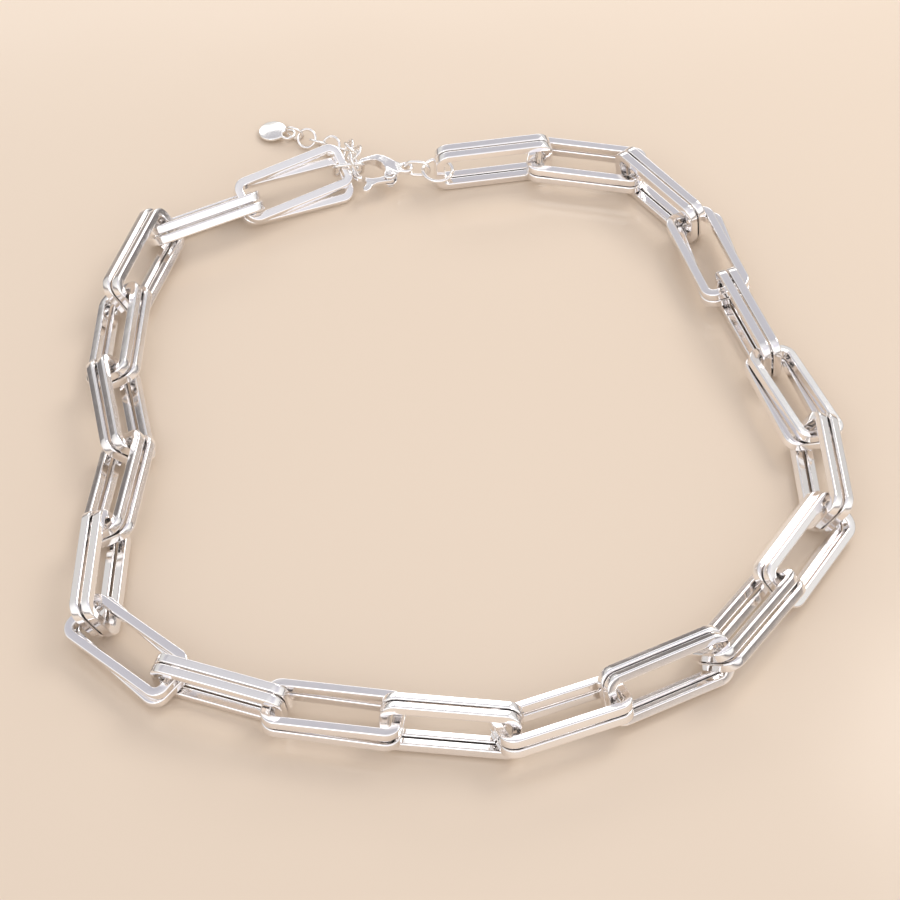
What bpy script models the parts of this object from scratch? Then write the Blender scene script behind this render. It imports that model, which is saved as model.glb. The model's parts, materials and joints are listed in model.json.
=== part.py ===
# Double-ring link chain necklace with lobster clasp, extender and tag.
# Metres, +Z up.  The necklace lies in a closed loop on a flat surface.
import bpy
import bmesh
import numpy as np
from math import sin, cos, pi, radians, degrees, atan2, sqrt, acos
from mathutils import Vector, Matrix

MM = 0.001

# ---------------------------------------------------------------- link rings
RING_LENGTH = 24.5 * MM        # outside length of one long ring
RING_WIDTH = 10.1 * MM        # outside width of one long ring
WIRE = 1.8 * MM                # side of the square wire
WIRE_CHAMFER = 0.26 * MM       # edge chamfer of the wire
RING_CORNER = 2.8 * MM         # outside corner radius in the plane of the ring
CORNER_STEPS = 4               # segments in one corner
PAIR_GAP = 0.32 * MM           # clear gap between the two rings of a station
LINK_CLEAR = 0.32 * MM         # clear gap where two stations bear on each other

# ------------------------------------------------- how the loop is laid out
# One row per station, walking from the end ring round to the clasp tail:
# heading on the surface; roll of the pair about its own length (0 = flat,
# positive = outside bar raised, negative = inside bar raised); slip of ring
# a past ring b across the pair, in millimetres; skew, how far the two rings
# are turned against each other in their plane; fan, how far they stand open
# (positive = at the far end, negative = at the near end).  Angles in degrees.
STATIONS = [
    (-154,   20,  -1.0,   8.0,   0.0),
    (-152,  -36,   0.0,   0.0,   0.0),
    (-106,   60,   0.0,   0.0,   0.0),
    ( -93,  -36,   0.0,   0.0,   0.0),
    ( -75,   46,   0.0,   0.0,   0.0),
    ( -98,  -36,   0.0,   0.0,   0.0),
    ( -93,   56,   0.0,   0.0,   0.0),
    ( -42,  -12,   0.0,   5.0,   0.0),
    ( -18,   76,   0.0,   0.0,   0.0),
    (  -9,    4,   0.0,   0.0,   0.9),
    (  -7,  -70,   0.0,   0.0,   0.0),
    (  22,   22,   0.0,   0.0,   0.0),
    (  26,  -60,   0.0,   0.0,   0.0),
    (  53,   38,   0.0,   0.0,   0.0),
    (  56,  -48,   0.0,   0.0,   0.0),
    (  93,   54,   0.0,   0.0,   0.0),
    ( 111,   -8,  -1.0,   5.0,   0.0),
    ( 110,  -76,   0.0,   0.0,   0.0),
    ( 104,   14,   0.8,   5.0,   0.0),
    ( 127,  -70,   0.0,   0.0,   0.0),
    ( 170,    2,   0.0,   0.0,   0.0),
    ( 191,  -80,   0.0,   0.0,   0.0),
]
START = (-22.6 * MM, 63.2 * MM)

# --------------------------------------------------------------- small parts
END_RING_LENGTH = 7.0 * MM     # oblong ring that carries the clasp and extender
END_RING_HEIGHT = 6.5 * MM
END_RING_CORNER = 1.9 * MM
END_RING_WIRE = 0.80 * MM
TAIL_RING_OD = 7.0 * MM        # round ring through the last station
TAIL_RING_WIRE = 0.80 * MM
EYE_RING_WIDTH = 4.4 * MM      # oblong ring through the clasp eye
EYE_RING_WIRE = 0.75 * MM
RING_HOOKED = 0.47 * MM        # clear gap between two hooked small rings

EXT_RING_OD = 4.6 * MM
EXT_RING_WIRE = 0.60 * MM
EXT_RINGS = 9
EXT_CLEAR = 0.54 * MM
EXT_LEAN = 45.0                # degrees, small rings lean in turn to either side
EXT_FALL = 10.0                # degrees, how the first ring drops from the end ring
EXT_LAST_LEAN = 15.0           # the last ring stands almost upright in the tag

CLASP_HEADING = 5.0            # degrees, direction from the hook to the eye
CLASP_HEIGHT = 3.8 * MM        # middle plane of the clasp above the surface
CLASP_BODY_THICK = 2.6 * MM    # at the pivot
CLASP_HOOK_THICK = 1.5 * MM
CLASP_EYE_THICK = 1.1 * MM
CLASP_EYE_U = 11.45 * MM       # eye centre along the clasp
CLASP_EYE_RADIUS = 1.62 * MM
CLASP_EYE_BORE = 0.86 * MM
SLOT_THICK = 1.44 * MM         # lever slot through the body
LEVER_THICK = 0.80 * MM
PIVOT = (8.0 * MM, -2.75 * MM)
RIVET_RADIUS = 0.40 * MM
RIVET_HEAD_RADIUS = 0.85 * MM
RIVET_HEAD = 0.28 * MM
BORE_RADIUS = 0.73 * MM

TAG_RADIUS = 3.05 * MM
TAG_THICK = 0.7 * MM
TAG_LUG_RADIUS = 1.75 * MM
TAG_BORE = 1.15 * MM
TAG_TILT = 5.5                 # degrees, lug end raised


def clear_scene():
    for o in list(bpy.data.objects):
        bpy.data.objects.remove(o, do_unlink=True)


def material(name, colour, metallic, rough):
    m = bpy.data.materials.new(name)
    m.use_nodes = True
    b = m.node_tree.nodes.get("Principled BSDF")
    b.inputs["Base Color"].default_value = (colour[0], colour[1], colour[2], 1.0)
    b.inputs["Metallic"].default_value = metallic
    b.inputs["Roughness"].default_value = rough
    m.diffuse_color = (colour[0], colour[1], colour[2], 1.0)
    return m


def add_object(name, verts, faces, colour=(0.90, 0.90, 0.91), rough=0.12):
    me = bpy.data.meshes.new(name)
    me.from_pydata([tuple(v) for v in verts], [], faces)
    bm = bmesh.new()
    bm.from_mesh(me)
    bmesh.ops.recalc_face_normals(bm, faces=bm.faces)
    bm.to_mesh(me)
    bm.free()
    ob = bpy.data.objects.new(name, me)
    bpy.context.scene.collection.objects.link(ob)
    ob.data.materials.append(material(name + "_metal", colour, 1.0, rough))
    return ob


# ------------------------------------------------------------------ profiles
def chamfered_square(side, chamfer):
    h = side / 2
    k = h - chamfer
    return [(h, -k), (h, k), (k, h), (-k, h), (-h, k), (-h, -k), (-k, -h), (k, -h)]


def regular_section(radius, sides):
    return [(radius * cos(2 * pi * (k + 0.5) / sides), radius * sin(2 * pi * (k + 0.5) / sides))
            for k in range(sides)]


def rounded_loop(length, width, corner, steps):
    # closed centre line of a rounded rectangle: (x, y, outward normal)
    pts = []
    cx, cy = length / 2 - corner, width / 2 - corner
    for sx, sy, a0 in ((1, 1, 0), (-1, 1, 90), (-1, -1, 180), (1, -1, 270)):
        for k in range(steps + 1):
            a = radians(a0 + 90.0 * k / steps)
            pts.append((sx * cx + corner * cos(a), sy * cy + corner * sin(a), cos(a), sin(a)))
    return pts


def sweep_closed(path, section, frame):
    # path points carry their own in-plane outward normal; section is
    # (across the plane outward, along the plane normal)
    origin, ex, ey, ez = frame
    verts, faces = [], []
    n, m = len(path), len(section)
    for (x, y, nx, ny) in path:
        for (u, v) in section:
            verts.append(origin + ex * (x + nx * u) + ey * (y + ny * u) + ez * v)
    for i in range(n):
        j = (i + 1) % n
        for k in range(m):
            l = (k + 1) % m
            faces.append((i * m + k, j * m + k, j * m + l, i * m + l))
    return verts, faces


def round_ring(name, centre, normal, outer, wire, steps=16, sides=8, colour=(0.88, 0.88, 0.89)):
    nz = normal.normalized()
    ref = Vector((0, 0, 1)) if abs(nz.z) < 0.9 else Vector((1, 0, 0))
    ex = ref.cross(nz).normalized()
    ey = nz.cross(ex).normalized()
    r = (outer - wire) / 2
    path = [(r * cos(2 * pi * k / steps), r * sin(2 * pi * k / steps),
             cos(2 * pi * k / steps), sin(2 * pi * k / steps)) for k in range(steps)]
    v, f = sweep_closed(path, regular_section(wire / 2, sides), (centre, ex, ey, nz))
    return add_object(name, v, f, colour)


# -------------------------------------------------------------- chain layout
# A pose is (x, y, z, heading, roll, pitch) of a pair, metres and radians.
PITCH = RING_LENGTH - 2 * WIRE - LINK_CLEAR
SLIDE_SHARE = 0.45             # of the slide that would level both rings
SLIDE_LIMIT = 0.8              # largest slide of one ring past the other, mm
BEND_ROOM = 0.70               # share of the wire depth a bend takes up
SETTLE_ROUNDS = 70
SETTLE_MARGIN = 0.05 * MM
THREAD_HEIGHT = 4.8 * MM       # common centre height while being threaded
# how readily a pair gives way in each pose value while the loop settles
GIVE = np.array([1.0, 1.0, 1.6, 1.0 / 0.012, 1.6 / 0.006, 0.5 / 0.012])
PULL = np.array([1.0, 1.0, 0.9, 1.0, 0.7, 1.0])
STEP = np.array([2e-5, 2e-5, 2e-5, 2e-3, 4e-3, 2e-3])


def rest_height(roll):
    # centre height of a pair whose lowest edge just meets the surface
    thick = 2 * WIRE + PAIR_GAP
    lift = RING_WIDTH / 2 * abs(sin(roll)) + thick / 2 * abs(cos(roll))
    return lift - WIRE_CHAMFER * min(abs(sin(roll)), abs(cos(roll)))


def pose_axes(q):
    # length, width and normal directions of a pair
    ch, sh, cp, sp = cos(q[3]), sin(q[3]), cos(q[5]), sin(q[5])
    t = np.array((ch * cp, sh * cp, sp))
    out = np.array((sh, -ch, 0.0))
    up = np.cross(out, t)
    w = out * cos(q[4]) + up * sin(q[4])
    return t, w, np.cross(t, w)


def ring_axes(q, k, side):
    # centre and axes of one ring of the pair at station k
    t, w, n = pose_axes(q)
    slip, skew, fan = STATIONS[k][2:]
    if abs(w[2]) > 0.5:
        # both rings of a leaning pair slide towards the surface
        slide = SLIDE_SHARE * (WIRE + PAIR_GAP) * n[2] / w[2] / MM
        slip -= max(-SLIDE_LIMIT, min(SLIDE_LIMIT, slide))
    c = np.array(q[:3]) + n * (side * (WIRE + PAIR_GAP) / 2) + w * (side * slip * MM / 2)
    g = radians(skew) * side / 2
    t, w = t * cos(g) + w * sin(g), w * cos(g) - t * sin(g)
    if fan:
        end = 1 if fan > 0 else -1
        ang = radians(abs(fan)) * side * end
        pivot = c - t * (end * (RING_LENGTH - WIRE) / 2)
        t, n = t * cos(ang) + n * sin(ang), n * cos(ang) - t * sin(ang)
        c = pivot + t * (end * (RING_LENGTH - WIRE) / 2)
    return c, t, w, n


def end_samples(end):
    # points over the surface of the half of a ring that faces a neighbour
    half, corner = (RING_LENGTH - WIRE) / 2, RING_CORNER - WIRE / 2
    wide = (RING_WIDTH - WIRE) / 2
    line = []
    for k in range(9):
        line.append((half - corner - 0.9 * MM * (8 - k), wide, 0.0, 1.0))
    for k in range(1, 6):
        a = pi / 2 * (1 - k / 5)
        line.append((half - corner + corner * cos(a), wide - corner + corner * sin(a), cos(a), sin(a)))
    for k in range(1, 6):
        line.append((half, (wide - corner) * (1 - k / 5), 1.0, 0.0))
    line += [(x, -y, nx, -ny) for (x, y, nx, ny) in line[::-1][1:]]
    pts = []
    for (x, y, nx, ny) in line:
        for (u, v) in chamfered_square(WIRE, WIRE_CHAMFER):
            pts.append((end * (x + nx * u), y + ny * u, v))
    return np.array(pts)


def depth_outside(points):
    # distance of points, in the frame of a ring, from its chamfered wire
    half, wide = (RING_LENGTH - WIRE) / 2, (RING_WIDTH - WIRE) / 2
    corner = RING_CORNER - WIRE / 2
    q = np.abs(points[:, :2]) - np.array((half - corner, wide - corner))
    u = np.hypot(*np.maximum(q, 0).T) + np.minimum(np.maximum(q[:, 0], q[:, 1]), 0) - corner
    u, v = np.abs(u), np.abs(points[:, 2])
    h = WIRE / 2
    return np.maximum(np.maximum(u, v) - h, (u + v - 2 * h + WIRE_CHAMFER) / sqrt(2))


def joint_clearance(qa, qb, k):
    # least distance between the pair at station k and the next one
    best = 1.0
    ra = [ring_axes(qa, k, s) for s in (1, -1)]
    rb = [ring_axes(qb, k + 1, s) for s in (1, -1)]
    for c0, *m0 in ra:
        m0 = np.array(m0)
        p0 = FAR_END @ m0 + c0
        for c1, *m1 in rb:
            m1 = np.array(m1)
            best = min(best, depth_outside((p0 - c1) @ m1.T).min(),
                       depth_outside((NEAR_END @ m1 + c1 - c0) @ m0.T).min())
    return best


def settle(poses, need):
    # let neighbouring pairs push each other clear while every pair is drawn
    # back to where it is meant to lie and down to the surface
    goal = [p.copy() for p in poses]
    n = len(poses)
    for p in poses:
        p[2] = THREAD_HEIGHT
    for it in range(SETTLE_ROUNDS):
        pull = 0.12 * max(0.0, 1 - 1.25 * it / SETTLE_ROUNDS)
        for k in range(n):
            poses[k] += pull * PULL * (goal[k] - poses[k])
            poses[k][2] = max(poses[k][2], rest_height(poses[k][4]))
        for k in range(n - 1):
            have = joint_clearance(poses[k], poses[k + 1], k)
            if have >= need:
                continue
            grad = np.zeros(12)
            for j in range(12):
                q = [poses[k].copy(), poses[k + 1].copy()]
                q[j // 6][j % 6] += STEP[j % 6]
                grad[j] = (joint_clearance(q[0], q[1], k) - have) / STEP[j % 6]
            give = np.concatenate((GIVE, GIVE)) ** 2
            total = float((give * grad * grad).sum())
            if total < 1e-12:
                continue
            move = give * grad * (need + 0.01 * MM - have) / total
            limit = 0.25 * MM * np.concatenate((GIVE, GIVE))
            move = np.clip(move, -limit, limit)
            poses[k] += move[:6]
            poses[k + 1] += move[6:]
    return poses


def bend_room(k):
    # a bent joint sits deeper because each pair is two wires wide
    if k < 0 or k + 1 >= len(STATIONS):
        return 0.0
    (h0, r0), (h1, r1) = STATIONS[k][:2], STATIONS[k + 1][:2]
    bend = radians(abs((h1 - h0 + 180) % 360 - 180))
    room = sin(bend * abs(sin(radians(r0)))) + sin(bend * abs(sin(radians(r1))))
    return BEND_ROOM * (WIRE + PAIR_GAP / 2) * room


def layout():
    x, y = START
    poses = []
    for k, (heading, roll, slip, skew, fan) in enumerate(STATIONS):
        h, r = radians(heading), radians(roll)
        t = (cos(h), sin(h))
        span = PITCH - bend_room(k - 1) / 2 - bend_room(k) / 2
        reach = (PITCH - bend_room(k - 1)) / 2
        poses.append(np.array((x + t[0] * reach, y + t[1] * reach, rest_height(r), h, r, 0.0)))
        x, y = x + t[0] * span, y + t[1] * span
    poses = settle(poses, LINK_CLEAR + SETTLE_MARGIN)
    rows = []
    for k, q in enumerate(poses):
        t, w, n = (Vector(a) for a in pose_axes(q))
        c = Vector(q[:3])
        rows.append(dict(k=k, q=q, c=c, t=t, w=w, n=n))
    for k, row in enumerate(rows):
        half = row["t"] * ((RING_LENGTH - WIRE) / 2)
        row["bar0"], row["bar1"] = row["c"] - half, row["c"] + half
    return rows


def build_chain(rows):
    section = chamfered_square(WIRE, WIRE_CHAMFER)
    loop = rounded_loop(RING_LENGTH - WIRE, RING_WIDTH - WIRE, RING_CORNER - WIRE / 2, CORNER_STEPS)
    for row in rows:
        for side, tag in ((1, "a"), (-1, "b")):
            frame = [Vector(v) for v in ring_axes(row["q"], row["k"], side)]
            v, f = sweep_closed(loop, section, frame)
            add_object("link_%02d_%s" % (row["k"] + 1, tag), v, f)


# ------------------------------------------------------- flat outline solids
def inset_outline(pts, amount, sign):
    # move every point of a closed outline along its mitred normal
    out = []
    n = len(pts)
    for i in range(n):
        p0, p1, p2 = pts[i - 1], pts[i], pts[(i + 1) % n]
        d1 = Vector((p1[0] - p0[0], p1[1] - p0[1])).normalized()
        d2 = Vector((p2[0] - p1[0], p2[1] - p1[1])).normalized()
        nrm = Vector((-(d1.y + d2.y), d1.x + d2.x))
        nrm = nrm.normalized()
        scale = 1.0 / max(0.5, nrm.dot(Vector((-d1.y, d1.x))))
        out.append((p1[0] + sign * nrm.x * amount * scale, p1[1] + sign * nrm.y * amount * scale))
    return out


def circle_points(cx, cy, radius, sides, start=0.0, sweep=360.0, closed=True):
    count = sides if closed else sides + 1
    return [(cx + radius * cos(radians(start + sweep * k / sides)),
             cy + radius * sin(radians(start + sweep * k / sides))) for k in range(count)]


def outline_solid(name, outer, holes, half_fn, chamfer, frame, colour=(0.88, 0.88, 0.89)):
    # outer runs counter-clockwise, holes run clockwise; half_fn gives half
    # the thickness at a point of the outline
    origin, eu, ev, ew = frame
    bm = bmesh.new()
    loops = [outer] + holes
    rings = []
    for pts in loops:
        inner = inset_outline(pts, chamfer, 1.0)
        levels = []
        for layer in range(4):
            use = inner if layer in (0, 3) else pts
            row = []
            for i, (u, v) in enumerate(use):
                h = half_fn(pts[i][0], pts[i][1])
                z = (-h, -h + chamfer, h - chamfer, h)[layer]
                row.append(bm.verts.new(origin + eu * u + ev * v + ew * z))
            levels.append(row)
        for a in range(3):
            lo, hi = levels[a], levels[a + 1]
            n = len(lo)
            for i in range(n):
                j = (i + 1) % n
                bm.faces.new((lo[i], lo[j], hi[j], hi[i]))
        rings.append(levels)
    bm.edges.ensure_lookup_table()
    for layer in (0, 3):
        edges = []
        for levels in rings:
            row = levels[layer]
            for i in range(len(row)):
                edges.append(bm.edges.get((row[i], row[(i + 1) % len(row)])))
        bmesh.ops.triangle_fill(bm, edges=edges, use_beauty=True, use_dissolve=False,
                                normal=ew)
    bmesh.ops.recalc_face_normals(bm, faces=bm.faces)
    me = bpy.data.meshes.new(name)
    bm.to_mesh(me)
    bm.free()
    ob = bpy.data.objects.new(name, me)
    bpy.context.scene.collection.objects.link(ob)
    me.materials.append(material(name + "_metal", colour, 1.0, 0.12))
    return ob


def cut(target, cutters):
    for c in cutters:
        m = target.modifiers.new("cut", "BOOLEAN")
        m.operation = "DIFFERENCE"
        m.solver = "EXACT"
        m.object = c
        bpy.context.view_layer.update()
        deps = bpy.context.evaluated_depsgraph_get()
        me = bpy.data.meshes.new_from_object(target.evaluated_get(deps))
        old = target.data
        target.modifiers.clear()
        target.data = me
        bpy.data.meshes.remove(old)
        bpy.data.objects.remove(c, do_unlink=True)


def cylinder(name, frame, cu, cv, radius, z0, z1, sides):
    origin, eu, ev, ew = frame
    verts, faces = [], []
    for z in (z0, z1):
        for (u, v) in circle_points(cu, cv, radius, sides):
            verts.append(origin + eu * u + ev * v + ew * z)
    faces.append(tuple(range(sides))[::-1])
    faces.append(tuple(range(sides, 2 * sides)))
    for k in range(sides):
        l = (k + 1) % sides
        faces.append((k, l, sides + l, sides + k))
    return add_object(name, verts, faces)


# ------------------------------------------------------------------ the ends
def end_ring_frame(row):
    # oblong ring standing around both end bars of the first station
    centre = row["bar0"] - row["t"] * (1.06 * MM)
    h = radians(CLASP_HEADING + 4)
    along = Vector((cos(h), sin(h), 0))
    back = Vector((-sin(h), cos(h), 0))
    lean = row["q"][4]
    up = Vector((0, 0, 1)) * cos(lean) - back * sin(lean)
    return centre, along, up


def build_oblong_ring(name, centre, along, up, length, width, corner, wire, sides=8):
    loop = rounded_loop(length - wire, width - wire, corner - wire / 2, 5)
    v, f = sweep_closed(loop, regular_section(wire / 2, sides), (centre, along, up, along.cross(up)))
    return add_object(name, v, f)


def clasp_frame(rows):
    c1, along, up = end_ring_frame(rows[0])
    h = radians(CLASP_HEADING)
    eu = Vector((cos(h), sin(h), 0))
    ev = Vector((-sin(h), cos(h), 0))
    origin = Vector((c1.x, c1.y, 0)) + eu * (0.50 * MM)
    origin.z = CLASP_HEIGHT
    return origin, eu, ev, Vector((0, 0, 1))


def clasp_half(u, v):
    # hook is slim, the pivot shoulder is full, the eye is thin
    x = u / MM
    if x < 3.2:
        return CLASP_HOOK_THICK / 2
    if x < 6.4:
        s = (x - 3.2) / 3.2
        s = s * s * (3 - 2 * s)
        return (CLASP_HOOK_THICK * (1 - s) + CLASP_BODY_THICK * s) / 2
    if x < 8.9:
        return CLASP_BODY_THICK / 2
    if x < 10.3:
        s = (x - 8.9) / 1.4
        s = s * s * (3 - 2 * s)
        return (CLASP_BODY_THICK * (1 - s) + CLASP_EYE_THICK * s) / 2
    return CLASP_EYE_THICK / 2


def build_clasp(rows):
    frame = clasp_frame(rows)
    # body outline, millimetres: hook tip, round the outside of the hook to
    # the shoulder, round the eye, back past the pivot and round the inside
    hook_out = [(2.15, -3.05), (1.2, -2.75), (0.45, -1.9), (0.05, -0.6), (0.15, 0.8), (0.85, 2.1),
                (2.1, 3.15), (3.8, 3.75), (5.6, 3.8), (7.2, 3.2), (8.4, 2.2), (9.3, 1.5)]
    eye = [(p[0] / MM, p[1] / MM) for p in
           circle_points(CLASP_EYE_U, 0, CLASP_EYE_RADIUS, 10, 125.0, -250.0, closed=False)]
    pivot = [(9.9, -1.75), (9.45, -2.7), (9.0, -3.5), (8.2, -3.95), (7.3, -3.85), (6.7, -3.2), (6.7, -2.3),
             (7.1, -1.3), (6.95, -0.1), (6.4, 1.15), (5.4, 2.1), (4.15, 2.55), (2.9, 2.3),
             (1.95, 1.45), (1.5, 0.2), (1.5, -0.9), (1.75, -1.7), (2.35, -2.2)]
    outline = [(u * MM, v * MM) for (u, v) in (hook_out + eye + pivot)]
    outline.reverse()
    hole = circle_points(CLASP_EYE_U, 0, CLASP_EYE_BORE, 16)
    hole.reverse()
    body = outline_solid("lobster_body", outline, [hole], clasp_half, 0.22 * MM, frame)
    slot = [(u * MM, v * MM) for (u, v) in
            [(5.9, -4.6), (9.4, -4.6), (9.4, -1.6), (8.5, -1.15), (5.9, -1.15)]]
    slot_tool = outline_solid("slot", slot, [], lambda u, v: SLOT_THICK / 2, 0.05 * MM, frame)
    bore_tool = cylinder("bore", frame, PIVOT[0], PIVOT[1], BORE_RADIUS, -3 * MM, 3 * MM, 14)
    cut(body, [slot_tool, bore_tool])

    lever = [(2.75, -2.35), (4.2, -2.75), (5.8, -2.6), (7.1, -2.05), (7.9, -1.62), (8.7, -1.85), (9.0, -2.75),
             (8.7, -3.55), (7.9, -3.85), (6.4, -3.95), (5.2, -4.15), (4.3, -4.75), (3.7, -5.9),
             (3.0, -6.45), (2.3, -6.25), (2.2, -5.4), (2.75, -4.5), (3.0, -3.9), (2.75, -3.3)]
    lever = [(u * MM, v * MM) for (u, v) in lever]
    lever.reverse()
    lever_bore = circle_points(PIVOT[0], PIVOT[1], BORE_RADIUS, 12)
    lever_bore.reverse()
    outline_solid("lobster_lever", lever, [lever_bore], lambda u, v: LEVER_THICK / 2, 0.12 * MM, frame,
                  (0.86, 0.86, 0.88))

    # rivet: shank with a round head beyond each cheek
    sides = 12
    head_in = CLASP_BODY_THICK / 2 + 0.32 * MM
    head_out = head_in + RIVET_HEAD
    origin, eu, ev, ew = frame
    levels = [(-head_out, RIVET_HEAD_RADIUS * 0.7), (-head_out + 0.12 * MM, RIVET_HEAD_RADIUS),
              (-head_in, RIVET_HEAD_RADIUS), (-head_in, RIVET_RADIUS),
              (head_in, RIVET_RADIUS), (head_in, RIVET_HEAD_RADIUS),
              (head_out - 0.12 * MM, RIVET_HEAD_RADIUS), (head_out, RIVET_HEAD_RADIUS * 0.7)]
    verts, faces = [], []
    for z, r in levels:
        for (u, v) in circle_points(PIVOT[0], PIVOT[1], r, sides):
            verts.append(origin + eu * u + ev * v + ew * z)
    for a in range(len(levels) - 1):
        for k in range(sides):
            l = (k + 1) % sides
            faces.append((a * sides + k, a * sides + l, (a + 1) * sides + l, (a + 1) * sides + k))
    faces.append(tuple(range(sides))[::-1])
    faces.append(tuple(range((len(levels) - 1) * sides, len(levels) * sides)))
    add_object("lobster_rivet", verts, faces, (0.80, 0.80, 0.82))
    return frame


def build_tail_rings(rows, frame):
    origin, eu, ev, ew = frame
    last = rows[-1]
    eye = origin + eu * CLASP_EYE_U
    # round ring lying around both end bars of the last station
    bar = last["bar1"]
    n3 = last["w"] * (1 if last["w"].z > 0 else -1)
    low = bar + n3 * ((eye.z - bar.z) / n3.z * 0.55)
    away = eye - low
    away = (away - n3 * away.dot(n3)).normalized()
    c3 = low + away * (0.30 * MM)
    round_ring("tail_ring", c3, n3, TAIL_RING_OD, TAIL_RING_WIRE, 20)
    # oblong ring on edge: one end turns in the clasp eye, the other is hooked
    # over the far side of the tail ring
    hooked = c3 + away * ((TAIL_RING_OD - TAIL_RING_WIRE) / 2)
    far = hooked - away * ((TAIL_RING_WIRE + EYE_RING_WIRE) / 2 + RING_HOOKED)
    run = far - eye
    toward = run.normalized()
    side = toward.cross(Vector((0, 0, 1))).normalized()
    build_oblong_ring("eye_ring", (eye + far) / 2, toward, side.cross(toward), run.length + EYE_RING_WIRE,
                      EYE_RING_WIDTH, EYE_RING_WIDTH / 2, EYE_RING_WIRE)


def along_path(points, s):
    for a, b in zip(points, points[1:]):
        d = (b - a).length
        if s <= d:
            return a + (b - a) * (s / d)
        s -= d
    return points[-1] + (points[-1] - points[-2]).normalized() * s


def build_extender(rows):
    c1, along, up = end_ring_frame(rows[0])
    build_oblong_ring("end_ring", c1, along, up, END_RING_LENGTH, END_RING_HEIGHT, END_RING_CORNER, END_RING_WIRE)
    # the first small ring hangs on the top of the end ring and the rest fall
    # away to the surface behind the first station
    hang = c1 + along * (1.20 * MM) + up * ((END_RING_HEIGHT - END_RING_WIRE) / 2)
    r = (EXT_RING_OD - EXT_RING_WIRE) / 2
    seat = END_RING_WIRE / 2 + EXT_RING_WIRE / 2 + EXT_CLEAR
    back = along.cross(up) * -1
    first = hang + back * ((r - seat) * cos(radians(EXT_FALL))) - up * ((r - seat) * sin(radians(EXT_FALL)))
    low = EXT_RING_WIRE / 2 + r * sin(radians(EXT_LEAN))
    pts = [first] + [Vector((x * MM, y * MM, z * MM + low)) for (x, y, z) in
                     [(-19.9, 66.5, 4.8), (-20.5, 70.0, 3.5), (-22.0, 71.9, 0.8), (-25.2, 74.3, 0.05),
                      (-31.2, 76.9, 0.05), (-38.3, 79.8, 0.05), (-44.0, 82.6, 0.15)]]
    pitch = EXT_RING_OD - 2 * EXT_RING_WIRE - EXT_CLEAR
    for k in range(EXT_RINGS):
        p = along_path(pts, pitch * k)
        q0 = along_path(pts, max(0.0, pitch * (k - 0.5)))
        q1 = along_path(pts, pitch * (k + 0.5))
        tau = (q1 - q0).normalized()
        across = tau.cross(Vector((0, 0, 1))).normalized()
        over = across.cross(tau)
        # the rings lean in turn to one side and the other
        lean = radians(EXT_LAST_LEAN if k == EXT_RINGS - 1 else EXT_LEAN)
        if k == 0:
            lean = radians(20)
        n = across * cos(lean) + over * sin(lean) if k % 2 == 0 else across * sin(lean) - over * cos(lean)
        p = Vector((p.x, p.y, max(p.z, EXT_RING_WIRE / 2 + r * sqrt(1 - n.z * n.z))))
        round_ring("extender_ring_%d" % (k + 1), p, n, EXT_RING_OD, EXT_RING_WIRE, 16)
        last, down = p, n.cross(tau)
    build_tag(last, tau, down * (-1 if down.z > 0 else 1))


def build_tag(ring_centre, tau, down):
    tilt = radians(TAG_TILT)
    flat = Vector((tau.x, tau.y, 0)).normalized()
    eu = flat * cos(tilt) - Vector((0, 0, 1)) * sin(tilt)
    ew = flat * sin(tilt) + Vector((0, 0, 1)) * cos(tilt)
    ev = ew.cross(eu)
    r = (EXT_RING_OD - EXT_RING_WIRE) / 2
    # the bore sits where the last ring comes down through the lug
    drop = radians(33)
    bore = ring_centre + tau * (r * cos(drop)) + down * (r * sin(drop))
    reach = TAG_RADIUS + 0.55 * MM
    centre = bore + eu * reach
    a = degrees(acos((TAG_RADIUS ** 2 + reach ** 2 - TAG_LUG_RADIUS ** 2) / (2 * TAG_RADIUS * reach)))
    b = degrees(acos((TAG_LUG_RADIUS ** 2 + reach ** 2 - TAG_RADIUS ** 2) / (2 * TAG_LUG_RADIUS * reach)))
    disc = circle_points(0, 0, TAG_RADIUS, 24, 180.0 + a, 360.0 - 2 * a, closed=False)
    lug = circle_points(-reach, 0, TAG_LUG_RADIUS, 12, b, 360.0 - 2 * b, closed=False)[1:-1]
    outline = disc + lug
    hole = circle_points(-reach, 0, TAG_BORE, 12)
    hole.reverse()
    outline_solid("tag", outline, [hole], lambda u, v: TAG_THICK / 2, 0.15 * MM, (centre, eu, ev, ew))


def centre_on_floor():
    # shift everything so the footprint is centred and the lowest point is 0
    lo = Vector((1e9, 1e9, 1e9))
    hi = -lo
    for o in bpy.data.objects:
        for v in o.data.vertices:
            for i in range(3):
                lo[i] = min(lo[i], v.co[i])
                hi[i] = max(hi[i], v.co[i])
    shift = Vector((-(lo.x + hi.x) / 2, -(lo.y + hi.y) / 2, -lo.z))
    for o in bpy.data.objects:
        o.data.transform(Matrix.Translation(shift))
    return shift


clear_scene()
FAR_END, NEAR_END = end_samples(1), end_samples(-1)
ROWS = layout()
build_chain(ROWS)
CLASP = build_clasp(ROWS)
build_tail_rings(ROWS, CLASP)
build_extender(ROWS)
SHIFT = centre_on_floor()
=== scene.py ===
# Double-ring link chain necklace: fine surfaces, silver, floor, light, camera.
import bpy
import bmesh
import json
import numpy as np
from math import sin, cos, pi, radians
from mathutils import Vector, Matrix


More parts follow.
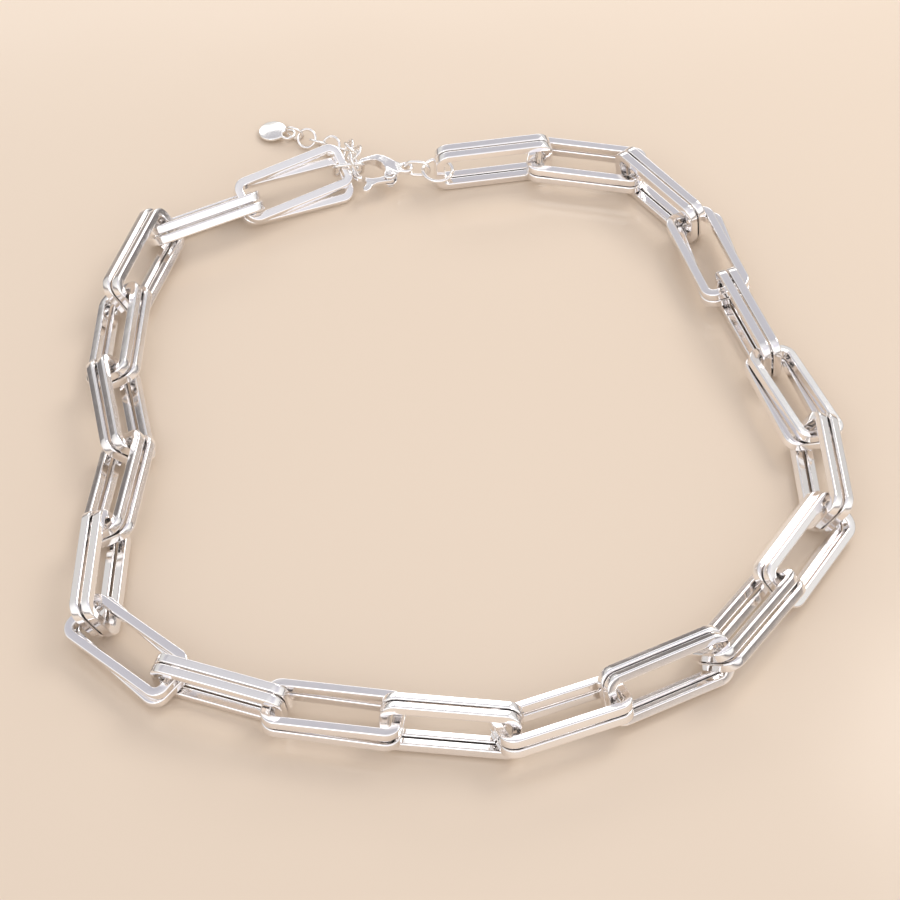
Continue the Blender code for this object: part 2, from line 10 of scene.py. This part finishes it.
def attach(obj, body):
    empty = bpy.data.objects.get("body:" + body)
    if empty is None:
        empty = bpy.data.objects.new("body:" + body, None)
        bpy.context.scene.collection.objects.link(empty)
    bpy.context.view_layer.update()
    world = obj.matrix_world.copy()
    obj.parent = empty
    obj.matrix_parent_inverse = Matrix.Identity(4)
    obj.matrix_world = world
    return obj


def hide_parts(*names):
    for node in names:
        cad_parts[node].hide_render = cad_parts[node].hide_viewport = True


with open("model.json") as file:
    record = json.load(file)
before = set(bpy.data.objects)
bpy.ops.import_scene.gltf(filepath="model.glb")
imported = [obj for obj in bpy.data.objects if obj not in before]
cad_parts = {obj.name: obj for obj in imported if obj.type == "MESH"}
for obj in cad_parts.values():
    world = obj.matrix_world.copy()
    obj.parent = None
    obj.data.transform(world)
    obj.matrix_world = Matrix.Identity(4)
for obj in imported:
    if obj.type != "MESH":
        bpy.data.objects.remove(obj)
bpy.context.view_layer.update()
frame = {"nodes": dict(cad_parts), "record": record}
NODES = frame["nodes"]
BODY = {n: b for b, ns in frame["record"]["behaviour"]["bodies"].items() for n in ns}
MM = 0.001

WIRE = 1.8 * MM
EDGE = 0.34 * MM           # rounding of the square wire
CORNER = 2.8 * MM


# ------------------------------------------------------------------ materials
def node(nt, kind, x, y, **vals):
    n = nt.nodes.new(kind)
    n.location = (x, y)
    for k, v in vals.items():
        setattr(n, k, v)
    return n


def silver(name, colour, rough, grain, wave, haze=0.05):
    # polished plate: a soft wave from buffing, fine hairlines, cloudy patches
    m = bpy.data.materials.new(name)
    m.use_nodes = True
    nt = m.node_tree
    bs = nt.nodes["Principled BSDF"]
    bs.inputs["Metallic"].default_value = 1.0
    co = node(nt, "ShaderNodeTexCoord", -1100, 0)
    big = node(nt, "ShaderNodeTexNoise", -850, 200)
    big.inputs["Scale"].default_value = 260.0
    big.inputs["Detail"].default_value = 2.0
    fine = node(nt, "ShaderNodeTexNoise", -850, -100)
    fine.inputs["Scale"].default_value = 2600.0
    fine.inputs["Detail"].default_value = 3.0
    patch = node(nt, "ShaderNodeTexNoise", -850, 450)
    patch.inputs["Scale"].default_value = 90.0
    patch.inputs["Detail"].default_value = 4.0
    for t in (big, fine, patch):
        nt.links.new(co.outputs["Object"], t.inputs["Vector"])
    ramp = node(nt, "ShaderNodeMapRange", -550, 450)
    ramp.inputs["From Min"].default_value = 0.35
    ramp.inputs["From Max"].default_value = 0.70
    ramp.inputs["To Min"].default_value = rough
    ramp.inputs["To Max"].default_value = rough + haze
    nt.links.new(patch.outputs["Fac"], ramp.inputs["Value"])
    nt.links.new(ramp.outputs["Result"], bs.inputs["Roughness"])
    tint = node(nt, "ShaderNodeMix", -300, 300, data_type="RGBA")
    tint.inputs["A"].default_value = (*colour, 1)
    tint.inputs["B"].default_value = (colour[0] * 0.985, colour[1] * 0.955, colour[2] * 0.925, 1)
    nt.links.new(patch.outputs["Fac"], tint.inputs["Factor"])
    nt.links.new(tint.outputs["Result"], bs.inputs["Base Color"])
    b1 = node(nt, "ShaderNodeBump", -300, -50)
    b1.inputs["Strength"].default_value = wave
    b1.inputs["Distance"].default_value = 0.00035
    b2 = node(nt, "ShaderNodeBump", -100, -50)
    b2.inputs["Strength"].default_value = grain
    b2.inputs["Distance"].default_value = 0.00003
    nt.links.new(big.outputs["Fac"], b1.inputs["Height"])
    nt.links.new(fine.outputs["Fac"], b2.inputs["Height"])
    nt.links.new(b1.outputs["Normal"], b2.inputs["Normal"])
    nt.links.new(b2.outputs["Normal"], bs.inputs["Normal"])
    return m


LINK = silver("link_silver_polish", (0.955, 0.945, 0.95), 0.10, 0.10, 0.10)
FITTING = silver("fitting_silver_polish", (0.93, 0.915, 0.905), 0.14, 0.12, 0.10)
CLASP = silver("clasp_silver_polish", (0.945, 0.94, 0.95), 0.11, 0.10, 0.22)
RIVET = silver("rivet_silver_satin", (0.88, 0.87, 0.87), 0.22, 0.20, 0.10)
TAG = silver("tag_silver_polish", (0.95, 0.945, 0.93), 0.17, 0.15, 0.30, 0.10)


# ------------------------------------------------------------------ geometry
def points_of(name):
    me = NODES[name].data
    co = np.zeros(len(me.vertices) * 3)
    me.vertices.foreach_get("co", co)
    return np.unique(np.round(co.reshape(-1, 3), 7), axis=0)


def ring_frame(name):
    # centre, axes and full sizes of a ring node, long axis first
    p = points_of(name)
    c = p.mean(axis=0)
    for _ in range(2):
        u, s, vt = np.linalg.svd(p - c, full_matrices=False)
        q = (p - c) @ vt.T
        c = c + ((q.max(axis=0) + q.min(axis=0)) / 2) @ vt
    ex, ey = Vector(vt[0]), Vector(vt[1])
    return Vector(c), ex, ey, ex.cross(ey), q.max(axis=0) - q.min(axis=0)


def rounded_square(side, radius, steps):
    k = side / 2 - radius
    pts = []
    for sx, sy, a0 in ((1, 1, 0), (-1, 1, 90), (-1, -1, 180), (1, -1, 270)):
        for i in range(steps + 1):
            a = radians(a0 + 90.0 * i / steps)
            pts.append((sx * k + radius * cos(a), sy * k + radius * sin(a)))
    return pts


def round_section(radius, sides):
    return [(radius * cos(2 * pi * k / sides), radius * sin(2 * pi * k / sides)) for k in range(sides)]


def rounded_path(length, width, corner, steps, run):
    cx, cy = length / 2 - corner, width / 2 - corner
    arcs = []
    for sx, sy, a0 in ((1, 1, 0), (-1, 1, 90), (-1, -1, 180), (1, -1, 270)):
        arcs.append([(sx * cx + corner * cos(radians(a0 + 90.0 * k / steps)),
                      sy * cy + corner * sin(radians(a0 + 90.0 * k / steps)),
                      cos(radians(a0 + 90.0 * k / steps)), sin(radians(a0 + 90.0 * k / steps)))
                     for k in range(steps + 1)])
    pts = []
    for i, arc in enumerate(arcs):
        pts += arc
        a, b = arc[-1], arcs[(i + 1) % 4][0]
        for k in range(1, run):
            s = k / run
            pts.append(tuple(a[j] * (1 - s) + b[j] * s for j in range(4)))
    return pts


def sweep(name, path, section, fr, mat, bodyname, smooth=True):
    origin, ex, ey, ez = fr
    verts, faces = [], []
    n, m = len(path), len(section)
    for (x, y, nx, ny) in path:
        for (u, v) in section:
            verts.append(origin + ex * (x + nx * u) + ey * (y + ny * u) + ez * v)
    for i in range(n):
        j = (i + 1) % n
        for k in range(m):
            l = (k + 1) % m
            faces.append((i * m + k, j * m + k, j * m + l, i * m + l))
    me = bpy.data.meshes.new(name)
    me.from_pydata([tuple(v) for v in verts], [], faces)
    bm = bmesh.new()
    bm.from_mesh(me)
    bmesh.ops.recalc_face_normals(bm, faces=bm.faces)
    bm.to_mesh(me)
    bm.free()
    me.shade_smooth()
    ob = bpy.data.objects.new(name, me)
    bpy.context.scene.collection.objects.link(ob)
    me.materials.append(mat)
    return ob


def put(ob, cad):
    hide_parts(cad)
    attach(ob, BODY[cad])
    return ob


LINK_SECTION = rounded_square(WIRE, EDGE, 5)
for name in sorted(NODES):
    if name.startswith("link_"):
        c, ex, ey, ez, size = ring_frame(name)
        path = rounded_path(size[0] - WIRE, size[1] - WIRE, CORNER - WIRE / 2, 14, 8)
        ob = sweep("fine_" + name, path, LINK_SECTION, (c, ex, ey, ez), LINK, name)
        # weighted normals keep the flats of the square wire flat
        mod = ob.modifiers.new("flat_sides", "WEIGHTED_NORMAL")
        mod.keep_sharp = True
        mod.weight = 80
        put(ob, name)
    elif name.startswith("extender_ring") or name == "tail_ring":
        c, ex, ey, ez, size = ring_frame(name)
        wire = 0.60 * MM if name.startswith("ext") else 0.80 * MM
        r = (max(size[0], size[1]) - wire) / 2
        steps = 64
        path = [(r * cos(2 * pi * k / steps), r * sin(2 * pi * k / steps),
                 cos(2 * pi * k / steps), sin(2 * pi * k / steps)) for k in range(steps)]
        ob = sweep("fine_" + name, path, round_section(wire / 2 * 1.02, 16), (c, ex, ey, ez), FITTING, name)
        put(ob, name)
    elif name in ("end_ring", "eye_ring"):
        c, ex, ey, ez, size = ring_frame(name)
        wire = 0.80 * MM if name == "end_ring" else 0.75 * MM
        corner = 1.9 * MM if name == "end_ring" else 2.2 * MM
        path = rounded_path(size[0] - wire, size[1] - wire, min(corner - wire / 2, (size[1] - wire) / 2 - 1e-5), 12, 3)
        ob = sweep("fine_" + name, path, round_section(wire / 2, 16), (c, ex, ey, ez), FITTING, name)
        put(ob, name)


def cast_copy(cad, voxel, rounds, mat, factor=0.5):
    # a cast and tumbled copy of a CAD solid: fine grid, edges rolled over
    me = NODES[cad].data.copy()
    me.name = "fine_" + cad
    ob = bpy.data.objects.new("fine_" + cad, me)
    bpy.context.scene.collection.objects.link(ob)
    bm = bmesh.new()
    bm.from_mesh(me)
    bmesh.ops.remove_doubles(bm, verts=bm.verts, dist=1e-6)
    # work a thousand times larger, where the grid sizes are easy to hold
    bmesh.ops.scale(bm, vec=(1000, 1000, 1000), verts=bm.verts)
    bm.to_mesh(me)
    bm.free()
    rm = ob.modifiers.new("grid", "REMESH")
    rm.mode = "VOXEL"
    rm.voxel_size = voxel / MM
    sm = ob.modifiers.new("tumble", "SMOOTH")
    sm.factor = factor
    sm.iterations = rounds
    bpy.context.view_layer.update()
    dg = bpy.context.evaluated_depsgraph_get()
    fine = bpy.data.meshes.new_from_object(ob.evaluated_get(dg))
    ob.modifiers.clear()
    ob.data = fine
    bpy.data.meshes.remove(me)
    fine.name = "fine_" + cad
    fine.transform(Matrix.Scale(0.001, 4))
    fine.materials.clear()
    fine.materials.append(mat)
    fine.shade_smooth()
    return put(ob, cad)


cast_copy("lobster_body", 0.085 * MM, 14, CLASP)
cast_copy("lobster_lever", 0.06 * MM, 8, CLASP)
cast_copy("lobster_rivet", 0.05 * MM, 5, RIVET)

# the end tag: a thin round plate, softly domed, with its lug
tag = cast_copy("tag", 0.07 * MM, 7, TAG)
p = points_of("tag")
c = p.mean(axis=0)
u, s, vt = np.linalg.svd(p - c, full_matrices=False)
up = Vector(vt[2]) if vt[2][2] > 0 else -Vector(vt[2])
along = Vector(vt[0])
q = (p - c) @ vt[0]
ends = (Vector(c) + along * q.min(), Vector(c) + along * q.max())
lug_end = ends[0] if ends[0].x > ends[1].x else ends[1]
far_end = ends[1] if ends[0].x > ends[1].x else ends[0]
centre = far_end + (lug_end - far_end).normalized() * (3.05 * MM)
for v in tag.data.vertices:
    d = v.co - centre
    h = d.dot(up)
    r = (d - up * h).length / (3.0 * MM)
    if r < 1.0 and h > 0:
        v.co += up * (0.34 * MM * (1 - r * r) ** 1.2)


# -------------------------------------------------------------- floor, light
def floor_material():
    m = bpy.data.materials.new("table")
    m.use_nodes = True
    nt = m.node_tree
    bs = nt.nodes["Principled BSDF"]
    co = node(nt, "ShaderNodeTexCoord", -900, 0)
    cloud = node(nt, "ShaderNodeTexNoise", -650, 100)
    cloud.inputs["Scale"].default_value = 5.0
    cloud.inputs["Detail"].default_value = 3.0
    nt.links.new(co.outputs["Object"], cloud.inputs["Vector"])
    mix = node(nt, "ShaderNodeMix", -350, 100, data_type="RGBA")
    mix.inputs["A"].default_value = (0.735, 0.600, 0.468, 1)
    mix.inputs["B"].default_value = (0.765, 0.635, 0.505, 1)
    nt.links.new(cloud.outputs["Fac"], mix.inputs["Factor"])
    nt.links.new(mix.outputs["Result"], bs.inputs["Base Color"])
    bs.inputs["Roughness"].default_value = 0.16
    bs.inputs["IOR"].default_value = 1.42
    wob = node(nt, "ShaderNodeTexNoise", -650, -200)
    wob.inputs["Scale"].default_value = 22.0
    wob.inputs["Detail"].default_value = 1.0
    nt.links.new(co.outputs["Object"], wob.inputs["Vector"])
    bump = node(nt, "ShaderNodeBump", -350, -200)
    bump.inputs["Strength"].default_value = 0.25
    bump.inputs["Distance"].default_value = 0.0006
    nt.links.new(wob.outputs["Fac"], bump.inputs["Height"])
    nt.links.new(bump.outputs["Normal"], bs.inputs["Normal"])
    return m


me = bpy.data.meshes.new("floor")
me.from_pydata([(-3, -3, 0), (3, -3, 0), (3, 3, 0), (-3, 3, 0)], [], [(0, 1, 2, 3)])
floor = bpy.data.objects.new("floor", me)
bpy.context.scene.collection.objects.link(floor)
floor.location.z = -0.00002
me.materials.append(floor_material())

world = bpy.data.worlds.new("studio")
bpy.context.scene.world = world
world.use_nodes = True
nt = world.node_tree
bg = nt.nodes["Background"]
co = node(nt, "ShaderNodeTexCoord", -900, 0)
sep = node(nt, "ShaderNodeSeparateXYZ", -700, 0)
nt.links.new(co.outputs["Generated"], sep.inputs["Vector"])
# dark at the horizon, a white tent above it, a greyer ceiling overhead
ramp = node(nt, "ShaderNodeValToRGB", -450, 0)
ramp.color_ramp.elements[0].position = 0.0
ramp.color_ramp.elements[0].color = (0.22, 0.20, 0.19, 1)
ramp.color_ramp.elements[1].position = 1.0
ramp.color_ramp.elements[1].color = (0.95, 0.95, 0.98, 1)
for pos, col in ((0.07, (0.26, 0.24, 0.24, 1)), (0.15, (0.96, 0.94, 0.92, 1)), (0.58, (1.08, 1.08, 1.08, 1)),
                 (0.72, (0.84, 0.83, 0.89, 1)), (0.86, (0.74, 0.73, 0.80, 1))):
    e = ramp.color_ramp.elements.new(pos)
    e.color = col
nt.links.new(sep.outputs["Z"], ramp.inputs["Fac"])
# the side towards the viewer is the brighter one
side = node(nt, "ShaderNodeMapRange", -450, -280)
side.inputs["From Min"].default_value = -0.55
side.inputs["From Max"].default_value = 0.35
side.inputs["To Min"].default_value = 1.45
side.inputs["To Max"].default_value = 0.86
nt.links.new(sep.outputs["Y"], side.inputs["Value"])
both = node(nt, "ShaderNodeMix", -150, 0, data_type="RGBA", blend_type="MULTIPLY")
both.inputs["Factor"].default_value = 1.0
nt.links.new(ramp.outputs["Color"], both.inputs["A"])
nt.links.new(side.outputs["Result"], both.inputs["B"])
nt.links.new(both.outputs["Result"], bg.inputs["Color"])
bg.inputs["Strength"].default_value = 0.84


def area(name, pos, aim, size, power, colour=(1, 1, 1)):
    d = bpy.data.lights.new(name, "AREA")
    d.shape = "RECTANGLE"
    d.size, d.size_y = size
    d.energy = power
    d.color = colour
    o = bpy.data.objects.new(name, d)
    bpy.context.scene.collection.objects.link(o)
    o.location = pos
    o.rotation_euler = (Vector(aim) - Vector(pos)).to_track_quat("-Z", "Y").to_euler()
    return o


area("key", (0.42, 0.38, 0.62), (0, 0, 0), (0.36, 0.36), 1.9, (1.0, 0.985, 0.96))
area("back", (-0.10, 0.75, 0.40), (0, 0, 0), (0.8, 0.20), 0.9)
area("front", (-0.30, -0.65, 0.75), (0, 0, 0), (0.5, 0.35), 0.7)

# ------------------------------------------------------------------- camera
EL = radians(48.88)
cam = bpy.data.cameras.new("camera")
cam.lens = 100.0
cam.sensor_width = 36.0
cam.clip_start = 0.01
cam_ob = bpy.data.objects.new("camera", cam)
bpy.context.scene.collection.objects.link(cam_ob)
cam_ob.location = (-0.00208, -0.32177, 0.35773)
cam_ob.rotation_euler = (pi / 2 - EL, 0, 0)
bpy.context.scene.camera = cam_ob
bpy.context.scene.view_settings.view_transform = "Standard"
